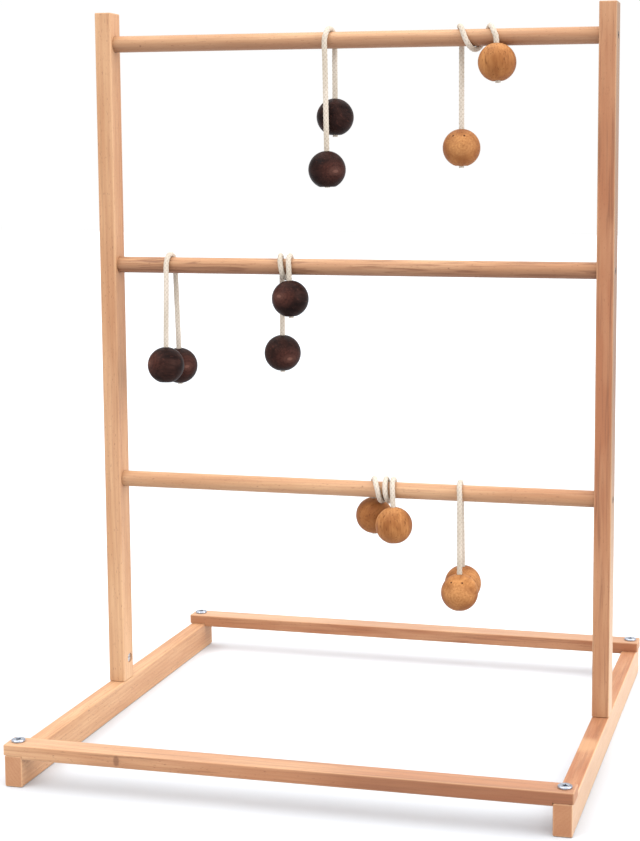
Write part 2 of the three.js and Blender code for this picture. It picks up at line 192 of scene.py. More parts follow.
def wrap_point(x, angle):
    return Vector((x, WRAP_RADIUS * math.cos(angle), WRAP_RADIUS * math.sin(angle)))


def centre(end):
    """Centre of a ball from its rung's axis."""
    return Vector((end["x"], end["y"], -end["drop"]))


def between(a, b, share):
    return a + (b - a) * share


def winding_x(bola, angle):
    """x of the winding at an angle that starts at 0 behind the rung and grows over its top."""
    lead = math.radians(bola.get("lead", WRAP_LEAD))
    strands = bola["strands"]
    if angle <= lead:
        return bola["back"]["x"]
    if angle <= math.pi:
        return between(bola["back"]["x"], strands[0], (angle - lead) / (math.pi - lead))
    turns = (angle - math.pi) / (2 * math.pi)
    i = min(math.floor(turns), len(strands) - 2)
    if i < 0:
        return strands[0]
    return between(strands[i], strands[i + 1], min(turns - i, 1))


def leg(end, edge):
    """Points from the knot in a ball up to where the rope meets its wrap, without the last."""
    middle = centre(end)
    foot = middle + (edge - middle).normalized() * POCKET_FLOOR
    steps = max(2, round((edge - foot).length / LEG_STEP))
    return [foot.lerp(edge, i / steps) for i in range(steps)]


def rope_route(bola):
    """The rope's points from the back knot to the front one, about the rung's axis."""
    start = leaving(bola["back"])
    last = math.pi - leaving(bola["front"]) + 2 * math.pi * (len(bola["strands"]) - 1)
    up = wrap_point(bola["back"]["x"], start)
    down = wrap_point(bola["strands"][-1], last)
    steps = math.ceil((last - start) / WRAP_STEP)
    winding = []
    for i in range(steps + 1):
        angle = between(start, last, i / steps)
        winding.append(wrap_point(winding_x(bola, angle), angle))
    return leg(bola["back"], up) + winding + leg(bola["front"], down)[::-1]


def smooth_path(points, spacing):
    """Centripetal Catmull-Rom curve through the points, cut about every spacing."""
    before = points[0] * 2 - points[1]
    after = points[-1] * 2 - points[-2]
    held = [before, *points, after]
    path = []
    for p0, p1, p2, p3 in zip(held, held[1:], held[2:], held[3:]):
        t1 = math.sqrt((p1 - p0).length)
        t2 = t1 + math.sqrt((p2 - p1).length)
        t3 = t2 + math.sqrt((p3 - p2).length)
        steps = max(1, round((p2 - p1).length / spacing))
        for i in range(steps):
            t = between(t1, t2, i / steps)
            a = between(p0, p1, t / t1)
            b = between(p1, p2, (t - t1) / (t2 - t1))
            c = between(p2, p3, (t - t2) / (t3 - t2))
            d = between(a, b, t / t2)
            e = between(b, c, (t - t1) / (t3 - t1))
            path.append(between(d, e, (t - t1) / (t2 - t1)))
    return [*path, points[-1].copy()]


# ---- Mesh helpers ----
def new_piece(name, bm, sharp=35):
    """Object made of a bmesh, smooth but for edges sharper than an angle in degrees."""
    bmesh.ops.recalc_face_normals(bm, faces=bm.faces)
    for face in bm.faces:
        face.smooth = True
    for edge in bm.edges:
        edge.smooth = edge.calc_face_angle(0) < math.radians(sharp)
    mesh = bpy.data.meshes.new(name)
    bm.to_mesh(mesh)
    bm.free()
    piece = bpy.data.objects.new(name, mesh)
    bpy.context.collection.objects.link(piece)
    return piece


def ring(bm, points):
    return [bm.verts.new(point) for point in points]


def join_rings(bm, a, b):
    """Faces between two rings. A ring of one vertex is a tip."""
    count = max(len(a), len(b))
    for i in range(count):
        corners = [a[i % len(a)], a[(i + 1) % len(a)], b[(i + 1) % len(b)], b[i % len(b)]]
        bm.faces.new(list(dict.fromkeys(corners)))


def turned(profile, segments, closed=False):
    """A turned form on the Z axis from (radius, height) pairs, the first and last may be tips."""
    bm = bmesh.new()
    rings = []
    for radius, height in profile:
        if radius < 1e-6:
            rings.append(ring(bm, [(0, 0, height)]))
            continue
        angles = [2 * math.pi * i / segments for i in range(segments)]
        points = [(radius * math.cos(a), radius * math.sin(a), height) for a in angles]
        rings.append(ring(bm, points))
    pairs = list(zip(rings, rings[1:]))
    if closed:
        pairs.append((rings[-1], rings[0]))
    for a, b in pairs:
        join_rings(bm, a, b)
    return bm


def arc(radius, first, last, steps, middle=(0, 0)):
    """(radius, height) pairs on an arc, angles in degrees down from the top."""
    points = []
    for i in range(steps + 1):
        angle = math.radians(between(first, last, i / steps))
        points.append((middle[0] + radius * math.sin(angle), middle[1] + radius * math.cos(angle)))
    return points


# ---- Ropes ----
def braid(around, along):
    """Height from 0 to 1 of a braid's surface, one strand over and one under.

    around is in turns and along in metres.
    """
    a = BRAID_STRANDS * (around + along / BRAID_PITCH)
    b = BRAID_STRANDS * (around - along / BRAID_PITCH)
    over = 1 if (math.floor(a) + math.floor(b)) % 2 == 0 else -1
    across_a = 2 * (a - math.floor(a)) - 1
    across_b = 2 * (b - math.floor(b)) - 1
    height_a = math.sqrt(1 - across_a**2) + over * math.cos(across_b * math.pi / 2)
    height_b = math.sqrt(1 - across_b**2) - over * math.cos(across_a * math.pi / 2)
    return max(height_a, height_b) / 2


def carried_normals(path):
    """A normal at each point of a path, carried along it without twist."""
    tangents = [(b - a).normalized() for a, b in zip(path, path[1:])]
    tangents.append(tangents[-1])
    normal = tangents[0].orthogonal().normalized()
    normals = [normal]
    for before, after in zip(tangents, tangents[1:]):
        normal = before.rotation_difference(after) @ normal
        normal = (normal - after * normal.dot(after)).normalized()
        normals.append(normal)
    return tangents, normals


def braided_tube(name, path):
    """Closed rope along a path, its strands raised, with the braid's height kept as an attribute."""
    bm = bmesh.new()
    depth = bm.verts.layers.float.new("braid")
    tangents, normals = carried_normals(path)
    rings = []
    along = 0
    for k, point in enumerate(path):
        if k:
            along += (point - path[k - 1]).length
        side = tangents[k].cross(normals[k])
        loop = []
        for i in range(ROPE_SIDES):
            turn = i / ROPE_SIDES
            height = braid(turn, along)
            fuzz = noise.noise(point * FUZZ_CELLS + Vector((turn * 9, 0, 0))) * FUZZ_DEPTH
            radius = ROPE_RADIUS * (BRAID_CORE + BRAID_RELIEF * height) + fuzz
            angle = 2 * math.pi * turn
            out = normals[k] * math.cos(angle) + side * math.sin(angle)
            vert = bm.verts.new(point + out * radius)
            vert[depth] = height
            loop.append(vert)
        rings.append(loop)
    for a, b in zip(rings, rings[1:]):
        join_rings(bm, a, b)
    bm.faces.new(rings[0])
    bm.faces.new(rings[-1])
    return new_piece(name, bm, sharp=60)


def rope_knot(name, tail):
    """Stopper knot pulled into a ball's pocket, its rope's short frayed tail below."""
    top = POCKET_FLOOR - KNOT_GAP
    end = -BALL_RADIUS + TAIL_INSET - tail
    bm = bmesh.new()
    depth = bm.verts.layers.float.new("braid")
    rings = []
    for k in range(KNOT_LEVELS + 1):
        share = k / KNOT_LEVELS
        height = between(top, end, share)
        below = top - height
        thinning = min(1, max(0, (below - KNOT_LUMP) / KNOT_LUMP))
        lump = 0.5 + 0.5 * math.cos(math.pi * thinning)
        rise = math.sin(math.pi / 2 * min(1, below / KNOT_SHOULDER))
        core = between(ROPE_RADIUS * 0.97, POCKET_RADIUS - 0.001, lump * rise)
        fringe = max(0, 1 - (height - end) / FRINGE)
        loop = []
        for i in range(KNOT_SIDES):
            turn = i / KNOT_SIDES
            swirl = math.cos(2 * math.pi * (3 * turn + below / KNOT_SWIRL))
            strands = braid(turn, below)
            ragged = noise.noise(Vector((turn * 13, tail * 999, share * 20)))
            radius = core * (1 + 0.05 * swirl * lump) + 0.0005 * (strands - 0.6)
            radius *= 1 - fringe * (0.10 - 0.12 * ragged)
            angle = 2 * math.pi * turn
            drop = -0.0004 * fringe * ragged
            vert = bm.verts.new((radius * math.cos(angle), radius * math.sin(angle), height + drop))
            vert[depth] = strands
            loop.append(vert)
        rings.append(loop)
    for a, b in zip(rings, rings[1:]):
        join_rings(bm, a, b)
    for loop, height in ((rings[0], top), (rings[-1], end + 0.0002)):
        tip = bm.verts.new((0, 0, height))
        join_rings(bm, loop, [tip])
    return new_piece(name, bm, sharp=60)


# ---- Balls ----
def drilled_ball(name, flat):
    """Bored ball with a pocket for the knot below and a small sanded flat round its mouth."""
    first = math.degrees(math.asin((BALL_BORE + BORE_EASE) / BALL_RADIUS))
    last = 180 - math.degrees(math.asin(flat / BALL_RADIUS))
    base = -math.sqrt(BALL_RADIUS**2 - flat**2)
    profile = [(BALL_BORE, POCKET_FLOOR), (BALL_BORE, BORE_TOP)]
    profile += arc(BALL_RADIUS, first, last, 40)
    profile += [
        (POCKET_RADIUS + BORE_EASE, base),
        (POCKET_RADIUS, base + BORE_EASE),
        (POCKET_RADIUS, POCKET_FLOOR),
    ]
    return new_piece(name, turned(profile, BALL_SIDES, closed=True))


# ---- Making the bolas ----
pieces = {}


def add_piece(node, piece, body):
    """Rides a piece on its body and files it under the CAD node that it stands for."""
    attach(piece, body)
    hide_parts(node)
    pieces[node] = piece


def make_bola(name, bola):
    axis = Vector((0, 0, RUNG_HEIGHTS[bola["rung"]]))
    route = [point + axis for point in rope_route(bola)]
    path = smooth_path(route, PATH_STEP)
    with_pieces = []
    for place, knot_end, above in (("back", route[0], route[1]), ("front", route[-1], route[-2])):
        end = bola[place]
        up = (above - knot_end).normalized()
        stand = Matrix.Translation(centre(end) + axis)
        stand @= Vector((0, 0, 1)).rotation_difference(up).to_matrix().to_4x4()
        ball = drilled_ball(f"{name}_ball_{place}_wood", end.get("flat", BALL_FLAT))
        knot = rope_knot(f"{name}_knot_{place}_rope", end.get("tail", ROPE_TAIL))
        for piece in (ball, knot):
            piece.matrix_world = stand
        add_piece(f"{name}_ball_{place}", ball, name)
        add_piece(f"{name}_knot_{place}", knot, name)
        with_pieces += [ball, knot]
    rope = braided_tube(f"{name}_rope_braid", path)
    add_piece(f"{name}_rope", rope, name)


for bola_name, bola_facts in BOLAS.items():
    make_bola(bola_name, bola_facts)


# ---- Rungs ----
def make_rung(name, height):
    """Dowel with eased ends and a pilot hole in each end."""
    low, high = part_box(f"rung_{name}")
    half = (high.x - low.x) / 2
    side = [
        (0, half - PILOT_DEPTH - 0.001),
        (PILOT_RADIUS, half - PILOT_DEPTH),
        (PILOT_RADIUS, half),
        (RUNG_RADIUS - RUNG_EASE, half),
        *arc(RUNG_EASE, 0, 90, 4, (RUNG_RADIUS - RUNG_EASE, half - RUNG_EASE)),
    ]
    other = [(radius, -place) for radius, place in reversed(side)]
    middle = [(RUNG_RADIUS, half * (0.9 - 0.2 * i)) for i in range(10)]
    dowel = turned([*side, *middle, *other], RUNG_SIDES)
    piece = new_piece(f"rung_{name}_dowel", dowel)
    piece.data.transform(Matrix.Rotation(math.radians(90), 4, "Y"))
    piece.location = (0, 0, height)
    add_piece(f"rung_{name}", piece, "frame")


for rung_name, rung_height in RUNG_HEIGHTS.items():
    make_rung(rung_name, rung_height)


# ---- Corner bolts ----
def bolt_profile(head, shank, length, height):
    """(radius, height) pairs of a flat domed head and its shank, from the hex's rim down."""
    return [
        (head - 0.0046, height - 0.0001),
        (head - 0.0030, height),
        (head - 0.0024, height - 0.00005),
        *arc(0.0013, 12, 84, 6, (head - 0.0013, height - 0.0014)),
        (head, 0.0003),
        (head - 0.0003, 0),
        (shank, 0),
        (shank, 0.0006 - length),
        (shank - 0.0006, -length),
        (0, -length),
    ]


def hexagon(across, height):
    """Points round a hexagon at even angles."""
    points = []
    for i in range(BOLT_SIDES):
        angle = 2 * math.pi * i / BOLT_SIDES
        from_flat = (angle + math.pi / 6) % (math.pi / 3) - math.pi / 6
        radius = across / 2 / math.cos(from_flat)
        points.append((radius * math.cos(angle), radius * math.sin(angle), height))
    return points


def cut_recess(bm, rim):
    """Hex recess from a head's inner rim down, its walls and floor in the second material, which
    paints shade in them.
    """
    inner = [
        ring(bm, hexagon(BOLT_HEX + 0.0005, BOLT_HEAD_HEIGHT - 0.0001)),
        ring(bm, hexagon(BOLT_HEX, BOLT_HEAD_HEIGHT - 0.0004)),
        ring(bm, hexagon(BOLT_HEX, 0.0006)),
    ]
    before = set(bm.faces)
    for a, b in zip([rim, *inner], inner):
        join_rings(bm, a, b)
    join_rings(bm, inner[-1], [bm.verts.new((0, 0, 0.0003))])
    for face in set(bm.faces) - before:
        if max(v.co.z for v in face.verts) < BOLT_HEAD_HEIGHT - 0.0003:
            face.material_index = 1


def make_corner_bolt(node):
    low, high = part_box(node)
    head = (high.x - low.x) / 2
    length = high.z - low.z - BOLT_HEAD_HEIGHT
    profile = bolt_profile(head, BOLT_SHANK_RADIUS, length, BOLT_HEAD_HEIGHT)
    bm = turned(profile, BOLT_SIDES)
    inside = profile[0][0]
    rim = [v for v in bm.verts if v.co.z > 0 and abs(v.co.xy.length - inside) < 1e-6]
    cut_recess(bm, rim)
    piece = new_piece(f"{node}_head", bm, sharp=30)
    middle = (low + high) / 2
    piece.location = (middle.x, middle.y, high.z - BOLT_HEAD_HEIGHT)
    add_piece(node, piece, "frame")


BASE_ENDS = [(end, side) for end in ("front", "rear") for side in ("left", "right")]
for base_end, base_side in BASE_ENDS:
    make_corner_bolt(f"corner_bolt_{base_end}_{base_side}")


# ---- Material helpers ----
def srgb(red, green, blue):
    """Linear colour with alpha from 0 to 255 values on screen."""
    linear = []
    for value in (red, green, blue):
        share = value / 255
        linear.append(share / 12.92 if share <= 0.04045 else ((share + 0.055) / 1.055) ** 2.4)
    return (*linear, 1)


class Look:
    """A node material being built round one Principled shader."""

    def __init__(self, name):
        self.material = bpy.data.materials.new(name)
        self.material.use_nodes = True
        self.tree = self.material.node_tree
        self.shader = self.tree.nodes["Principled BSDF"]
        self.place = self.node("TexCoord").outputs["Object"]

    def node(self, kind, sockets=None, **settings):
        made = self.tree.nodes.new(f"ShaderNode{kind}")
        for key, value in settings.items():
            setattr(made, key, value)
        for key, value in (sockets or {}).items():
            self.put(made.inputs[key], value)
        return made

    def put(self, socket, value):
        if isinstance(value, bpy.types.NodeSocket):
            self.tree.links.new(value, socket)
        else:
            socket.default_value = value

    def set(self, **sockets):
        for name, value in sockets.items():
            self.put(self.shader.inputs[name.replace("_", " ")], value)

    def scaled(self, vector, scale, offset=(0, 0, 0)):
        node = self.node("Mapping", {"Vector": vector, "Scale": scale, "Location": offset})
        return node.outputs["Vector"]

    def noise(self, vector, cells, detail, offset=(0, 0, 0), distortion=0):
        """Noise with a number of cells per metre, the same each way or one number for each axis."""
        if not isinstance(cells, tuple):
            cells = (cells, cells, cells)
        place = self.scaled(vector, cells, offset)
        sockets = {"Vector": place, "Scale": 1, "Detail": detail, "Distortion": distortion}
        return self.node("TexNoise", sockets).outputs["Fac"]

    def vector(self, operation, a, b=(0, 0, 0), output="Vector"):
        return self.node("VectorMath", {0: a, 1: b}, operation=operation).outputs[output]

    def math(self, operation, a, b=0.0, c=0.0):
        return self.node("Math", {0: a, 1: b, 2: c}, operation=operation).outputs["Value"]

    def fade(self, value, low, high, to_low=0.0, to_high=1.0):
        """Smooth step from to_low at low to to_high at high."""
        sockets = {
            "Value": value,
            "From Min": low,
            "From Max": high,
            "To Min": to_low,
            "To Max": to_high,
        }
        return self.node("MapRange", sockets, interpolation_type="SMOOTHSTEP").outputs["Result"]

    def mix(self, factor, a, b):
        """Colour a where factor is 0 and b where it is 1."""
        node = self.node("Mix", data_type="RGBA")
        for i, value in ((0, factor), (6, a), (7, b)):
            self.put(node.inputs[i], value)
        return node.outputs[2]

    def tint(self, pattern, strength, colour, over):
        """Colour laid over another where a pattern is, at most by a strength."""
        return self.mix(self.math("MULTIPLY", pattern, strength), over, colour)

    def bump(self, height, strength, distance):
        sockets = {"Height": height, "Strength": strength, "Distance": distance}
        self.set(Normal=self.node("Bump", sockets).outputs["Normal"])

    def spot(self, vector, place, size):
        """1 inside an oval round a place, fading to 0 at its edge."""
        offset = self.vector("SUBTRACT", vector, place)
        reach = self.vector("LENGTH", self.vector("DIVIDE", offset, size), output="Value")
        return self.fade(reach, 0.45, 1.0, 1.0, 0.0)


def along_axis(axis, across, along):
    """Scale with one value along an axis and another on the two across it."""
    return tuple(along if name == axis else across for name in "xyz")


def dress(node, material):
    """Gives a filed piece, or else a CAD node, a material in its first slot."""
    piece = pieces.get(node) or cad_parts[node]
    if not piece.data.materials:
        piece.data.materials.append(material)
    piece.material_slots[0].material = material


# ---- Wood ----
# Painted light and painted shade for the sides of boards that face one way.
BEECH_PAINTED_LIT = srgb(206, 180, 152)
BEECH_PAINTED_SHADE = srgb(117, 102, 86)
BEECH_PALE = srgb(210, 171, 132)
BEECH_TAN = srgb(189, 146, 107)
BEECH_BROWN = srgb(154, 99, 67)
BEECH_HEART = srgb(128, 80, 54)
BEECH_STREAK_AND_SHADE = srgb(112, 72, 50)
BEECH_FLECK = srgb(100, 62, 44)

# Cells per metre of each pattern in beech, across the grain and along it.
SWAY_CELLS = (26, 3.2)
CLOUD_CELLS = (38, 4.5)
PATCH_CELLS = (60, 9)
FIBRE_CELLS = (1500, 45)
FLECK_CELLS = (1150, 190)
STREAK_CELLS_ACROSS = 340
PORE_CELLS = 1100

# Spacing of the growth rings and how far they sway, in metres.
FINE_RINGS = (0.0034, 0.011)
BROAD_RINGS = (0.017, 0.03)

# Strength of a board's streaks, and their cells per metre along the grain.
PLAIN_FIGURE = (0.12, 8)


def growth_rings(look, place, axis, pith, spacing, sway):
    """0 to 1 across the growth rings of a board whose tree's middle runs along axis by pith."""
    flat = look.scaled(look.vector("SUBTRACT", place, pith), along_axis(axis, 1, 0))
    radius = look.vector("LENGTH", flat, output="Value")
    wander = look.noise(place, along_axis(axis, *SWAY_CELLS), 2, pith)
    radius = look.math("ADD", radius, look.math("MULTIPLY", wander, sway))
    wave = look.math("SINE", look.math("MULTIPLY", radius, 2 * math.pi / spacing))
    return look.fade(wave, -0.6, 1.0)


def brownness(look, along, ends, tones, patch):
    """How brown a board is, from its tones at its low end, middle and high end, in patches."""
    low, high = ends
    middle = (low + high) / 2
    first_half = look.fade(along, low, middle, tones[0], tones[1])
    second_half = look.fade(along, middle, high, 0.0, tones[2] - tones[1])
    brown = look.math("ADD", first_half, second_half)
    return look.math("MULTIPLY", brown, look.fade(patch, 0.3, 0.7, 0.75, 1.2))


def board_colour(look, axis, pith, seed, brown, figure):
    """Clouds, broad rings and streaks, browner and more streaked where the board is brown."""
    cloud = look.noise(look.place, along_axis(axis, *CLOUD_CELLS), 3, seed)
    broad = growth_rings(look, look.place, axis, pith, *BROAD_RINGS)
    colour = look.mix(look.fade(cloud, 0.3, 0.7), BEECH_TAN, BEECH_PALE)
    colour = look.mix(brown, colour, BEECH_BROWN)
    colour = look.tint(broad, 0.2, BEECH_BROWN, colour)
    strength, breaks = figure
    cells = along_axis(axis, STREAK_CELLS_ACROSS, breaks)
    streak = look.noise(look.place, cells, 4, seed, distortion=0.7)
    depth = look.math("MULTIPLY_ADD", brown, 0.3, strength)
    return look.tint(look.fade(streak, 0.48, 0.7), depth, BEECH_STREAK_AND_SHADE, colour)


def with_painted_side_light(look, colour, painted_side_light, along, ends):
    """Colour with painted light and shade on the sides that face one way: painted pale as lit at the
    low end, and the upper colour from the middle.
    """
    direction, strength, upper = painted_side_light
    low, high = ends
    lit_or_shaded = look.mix(look.fade(along, low, (low + high) / 2), BEECH_PAINTED_LIT, upper)
    facing = look.node("TexCoord").outputs["Normal"]
    facing_light = look.vector("DOT_PRODUCT", facing, direction, output="Value")
    return look.mix(look.fade(facing_light, 0.4, 0.68, 0.0, strength), colour, lit_or_shaded)


def with_end_grain(look, colour, axis, rings):
    """Colour with browner, porous wood where the board is cut across its grain."""
    facing = look.node("TexCoord").outputs["Normal"]
    towards = look.vector("DOT_PRODUCT", facing, along_axis(axis, 0, 1), output="Value")
    cut = look.fade(look.math("ABSOLUTE", towards), 0.85, 0.95, 0.0, 0.7)
    pores = look.noise(look.place, PORE_CELLS, 2)
    end_colour = look.mix(look.fade(pores, 0.35, 0.75, 0.6, 0.9), BEECH_TAN, BEECH_BROWN)
    end_colour = look.tint(rings, 0.15, BEECH_BROWN, end_colour)
    return look.mix(cut, colour, end_colour)


def paler_near_arris(look, low, high):
    """How much paler a point of a box's surface is made, by its distance from the nearest arris."""
    middle = look.vector("SUBTRACT", look.place, tuple((low + high) / 2))
    inside = look.vector("ABSOLUTE", middle)
    depth = look.vector("SUBTRACT", tuple((high - low) / 2), inside)
    axes = look.node("SeparateXYZ", {0: depth}).outputs
    least = look.math("MINIMUM", look.math("MINIMUM", axes[0], axes[1]), axes[2])
    most = look.math("MAXIMUM", look.math("MAXIMUM", axes[0], axes[1]), axes[2])
    total = look.math("ADD", look.math("ADD", axes[0], axes[1]), axes[2])
    second = look.math("SUBTRACT", look.math("SUBTRACT", total, least), most)
    return look.fade(second, 0.0002, 0.0022, 0.3, 0.0)


def beech(
    name, box, axis, pith, tones, marks=(), under=0.0, figure=PLAIN_FIGURE, painted_side_light=None
):
    """Planed beech with its grain along an axis, inside box = (low, high).

    The pith runs beside the board, so that the rings cross its faces at its own slant. tones
    are how brown the board is at its low end, middle and high end, where 1 is wholly brown.
    marks are (place, size, colour) of knots and patches. under is painted shade: how much darker
    it is below than above. The last argument is painted light and shade on the sides that face one
    way: (the way they face, strength, colour from its middle to its high end), and at its low end
    these sides are painted pale as lit.
    """
    look = Look(name)
    low, high = box
    end = "xyz".index(axis)
    ends = (low[end], high[end])
    seed = tuple(value * 31 for value in pith)
    reach = look.node("SeparateXYZ", {0: look.place}).outputs
    rings = growth_rings(look, look.place, axis, pith, *FINE_RINGS)
    fibre = look.noise(look.place, along_axis(axis, *FIBRE_CELLS), 2, seed)
    fleck = look.noise(look.place, along_axis(axis, *FLECK_CELLS), 1, seed)
    patch = look.noise(look.place, along_axis(axis, *PATCH_CELLS), 2, seed)

    brown = brownness(look, reach[end], ends, tones, patch)
    colour = board_colour(look, axis, pith, seed, brown, figure)
    colour = look.tint(rings, 0.18, BEECH_BROWN, colour)
    colour = look.mix(look.fade(fibre, 0.45, 0.75, 0.0, 0.2), colour, BEECH_BROWN)
    colour = look.mix(look.fade(fleck, 0.66, 0.74, 0.0, 0.5), colour, BEECH_FLECK)
    # Painted shade: darker towards the bottom, by under.
    colour = look.mix(look.fade(reach[2], low.z, high.z, under, 0.0), colour, BEECH_STREAK_AND_SHADE)
    for mark_place, size, mark_colour in marks:
        colour = look.tint(look.spot(look.place, mark_place, size), 0.6, mark_colour, colour)
    # Painted light and shade on the sides that face one way.
    if painted_side_light:
        colour = with_painted_side_light(look, colour, painted_side_light, reach[end], ends)
    colour = with_end_grain(look, colour, axis, rings)
    colour = look.mix(paler_near_arris(look, low, high), colour, BEECH_PALE)

    look.set(Base_Color=colour)
    look.set(Roughness=look.fade(fibre, 0.3, 0.7, 0.5, 0.64))
    look.set(Specular_IOR_Level=0.35)
    height = look.math("ADD", look.math("MULTIPLY", fleck, 0.6), fibre)
    look.bump(height, 0.35, 0.00012)
    return look.material


TO_RIGHT = (1, 0, 0)
TO_UPPER_RIGHT = (0.71, 0, 0.71)
# Some boards get painted light on the sides that face the right, the cross bars also on their tops,
# and the right post painted shade up its outer side.
TIMBERS = {
    "post_left": {"axis": "z", "pith": (-0.34, 0.06, 0), "tones": (0.1, 0.42, 0.25)},
    "post_right": {
        "axis": "z",
        "pith": (0.33, -0.06, 0),
        "tones": (0.55, 1.1, 0.65),
        "figure": (0.4, 9),
        "painted_side_light": (TO_RIGHT, 0.6, BEECH_PAINTED_SHADE),
    },
    "side_rail_left": {"axis": "y", "pith": (-0.24, 0, 0.07), "tones": (0.2, 0.2, 0.3)},
    "side_rail_right": {
        "axis": "y",
        "pith": (0.36, 0, -0.03),
        "tones": (0.8, 0.75, 0.8),
        "painted_side_light": (TO_RIGHT, 0.55, BEECH_PAINTED_LIT),
        "marks": [((0.292, -0.11, 0.034), (0.024, 0.03, 0.008), BEECH_TAN)],
    },
    "cross_bar_front": {
        "axis": "x",
        "pith": (0, -0.33, 0.09),
        "tones": (0.35, 0.65, 1.2),
        "figure": (0.34, 6),
        "painted_side_light": (TO_UPPER_RIGHT, 0.15, BEECH_PAINTED_LIT),
        "marks": [
            ((-0.178, -0.290, 0.0385), (0.0045, 0.005, 0.0075), BEECH_FLECK),
            ((0.2, -0.290, 0.04), (0.2, 0.008, 0.03), BEECH_HEART),
        ],
    },
    "cross_bar_rear": {
        "axis": "x",
        "pith": (0, 0.22, -0.02),
        "tones": (0.65, 0.9, 1.0),
        "figure": (0.35, 9),
        "painted_side_light": (TO_UPPER_RIGHT, 0.3, BEECH_PAINTED_LIT),
    },
}
for timber, facts in TIMBERS.items():
    dress(timber, beech(timber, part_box(timber), **facts))

# The marks' places are from the middle of each rung's axis, where the rung pieces have their
# origins.
# Each rung's under paints shade on its underside.
RUNGS = {
    "top": {
        "tones": (0.1, 0.15, 0.25),
        "under": 0.6,
        "figure": (0.15, 8),
        "marks": [((-0.252, -0.009, -0.003), (0.0015, 0.004, 0.0014), BEECH_FLECK)],
    },
    "middle": {
        "tones": (0.25, 0.3, 0.3),
        "under": 0.75,
        "figure": (0.75, 18),
        "marks": [((0.118, -0.009, 0.001), (0.0016, 0.004, 0.001), BEECH_FLECK)],
    },
    "low": {
        "tones": (0.1, 0.2, 0.4),
        "under": 0.3,
        "figure": (0.15, 8),
        "marks": [((0.0146, -0.0088, 0.004), (0.001, 0.004, 0.001), BEECH_FLECK)],
    },
}
for i, (rung_name, facts) in enumerate(RUNGS.items()):
    node = f"rung_{rung_name}"
    low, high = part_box(node)
    half = (high - low) / 2
    pith = (0, 0.021 + 0.006 * i, 0.02)
    dress(node, beech(node, (-half, half), "x", pith, **facts))

for side in ("left", "right"):
    peg = f"locating_peg_{side}"
    dress(peg, beech(peg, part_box(peg), "z", (0.02, 0.03, 0), (0.2, 0.2, 0.2)))


# ---- Ball wood ----
BALL_TONES = {
    "light": {
        "pale": srgb(188, 132, 80),
        "deep": srgb(132, 80, 42),
        "core": srgb(190, 136, 86),
        "fleck": srgb(84, 44, 20),
        "roughness": 0.55,
        "shine": 0.1,
    },
    "dark": {
        "pale": srgb(58, 37, 32),
        "deep": srgb(24, 14, 13),
        "core": srgb(78, 45, 38),
        "fleck": srgb(82, 48, 40),
        "roughness": 0.4,
        "shine": 0.04,
    },
}
BALL_RINGS = (0.0036, 0.006)
BALL_CLOUD_CELLS = (85, 85, 30)
BALL_FIBRE_CELLS = (560, 560, 60)
BALL_FLECK_CELLS = (520, 520, 110)
BALL_CORE_SIZE = (0.024, 0.024, 0.017)
# Colour of the dark balls' painted highlight.
HIGHLIGHT_PAINT = srgb(136, 96, 84)
# Painted shade for the staple holes.
STAPLE_HOLE_SHADE = srgb(70, 34, 18)
STAPLE_X, STAPLE_Z, STAPLE_HOLE = 0.0065, 0.0135, 0.0016


def with_painted_highlight(look, colour, centre_point):
    """Colour with a painted highlight: a faint wide glow round a point and a stronger small spot on
    it.
    """
    for size, strength in ((0.012, 0.12), (0.0045, 0.32)):
        glint = look.spot(look.place, centre_point, (size, size, size * 0.55))
        colour = look.tint(glint, strength, HIGHLIGHT_PAINT, colour)
    return colour


def with_staple_holes(look, colour):
    """Colour with two dark dots of painted shade for staple holes on the ball's front, which the
    mesh doesn't cut.
    """
    for x in (-STAPLE_X, STAPLE_X):
        y = -math.sqrt(BALL_RADIUS**2 - x**2 - STAPLE_Z**2)
        hole = look.spot(look.place, (x, y, STAPLE_Z), (STAPLE_HOLE, STAPLE_HOLE, STAPLE_HOLE))
        colour = look.mix(hole, colour, STAPLE_HOLE_SHADE)
    return colour


